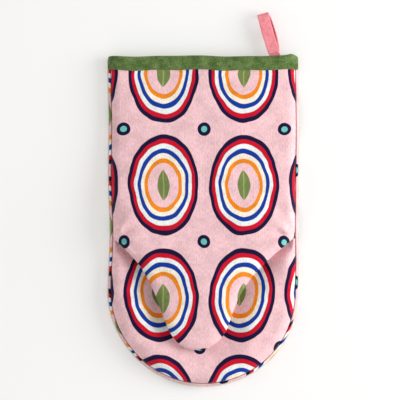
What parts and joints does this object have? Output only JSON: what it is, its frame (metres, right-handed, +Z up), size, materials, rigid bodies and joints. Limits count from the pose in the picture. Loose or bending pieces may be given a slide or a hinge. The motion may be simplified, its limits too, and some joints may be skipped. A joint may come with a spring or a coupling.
{
  "type": "oven mitt",
  "caption": "Quilted cotton oven mitt with a rounded finger pocket, a thumb pocket folded over it, a bound cuff and a tape hanging loop.",
  "frame": {"origin": "centre of the bounding box in plan, on the flat surface the back of the mitt lies on", "axes": "+Y from the fingertips to the cuff, +Z up from the surface through the back, the hand and the palm, +X to the side where the hanging loop is sewn"},
  "size_m": [0.19, 0.3738, 0.0322],
  "materials": {
    "printed_cotton": "matt printed cotton",
    "wadding": "matt needled wadding",
    "lining": "matt plain cotton",
    "binding_cotton": "matt woven cotton",
    "green_thread": "matt spun thread",
    "loop_tape": "matt cotton tape",
    "pink_thread": "matt spun thread",
    "seam_thread": "matt spun thread"
  },
  "bodies": {
    "hand": {"back_shell": "printed_cotton", "back_wadding": "wadding", "back_lining": "lining", "palm_shell": "printed_cotton", "palm_wadding": "wadding", "palm_lining": "lining", "thumb_root_shell": "printed_cotton", "thumb_root_wadding": "wadding", "thumb_root_lining": "lining", "finger_palm_shell": "printed_cotton", "finger_palm_wadding": "wadding", "finger_palm_lining": "lining", "cuff_binding": "binding_cotton", "binding_stitching": "green_thread", "loop_tails": "loop_tape", "loop_bartack": "pink_thread", "side_seam_thread": "seam_thread"},
    "thumb": {"thumb_outer_shell": "printed_cotton", "thumb_outer_wadding": "wadding", "thumb_outer_lining": "lining", "thumb_inner_shell": "printed_cotton", "thumb_inner_wadding": "wadding", "thumb_inner_lining": "lining", "thumb_seam_thread": "seam_thread"},
    "loop": {"hanging_loop": "loop_tape"}
  },
  "joints": [
    {"name": "thumb_fold", "type": "hinge", "parent": "hand", "child": "thumb", "pos_m": [0, -0.03891, 0.0166], "axis": [-1, 0, 0], "range_deg": [0, 60], "deforming": ["thumb_root_shell", "thumb_root_wadding", "thumb_root_lining"]},
    {"name": "loop_swing", "type": "hinge", "parent": "hand", "child": "loop", "pos_m": [0.07, 0.14709, 0.011], "axis": [0.9613, 0.2756, 0], "range_deg": [0, 90]}
  ]
}
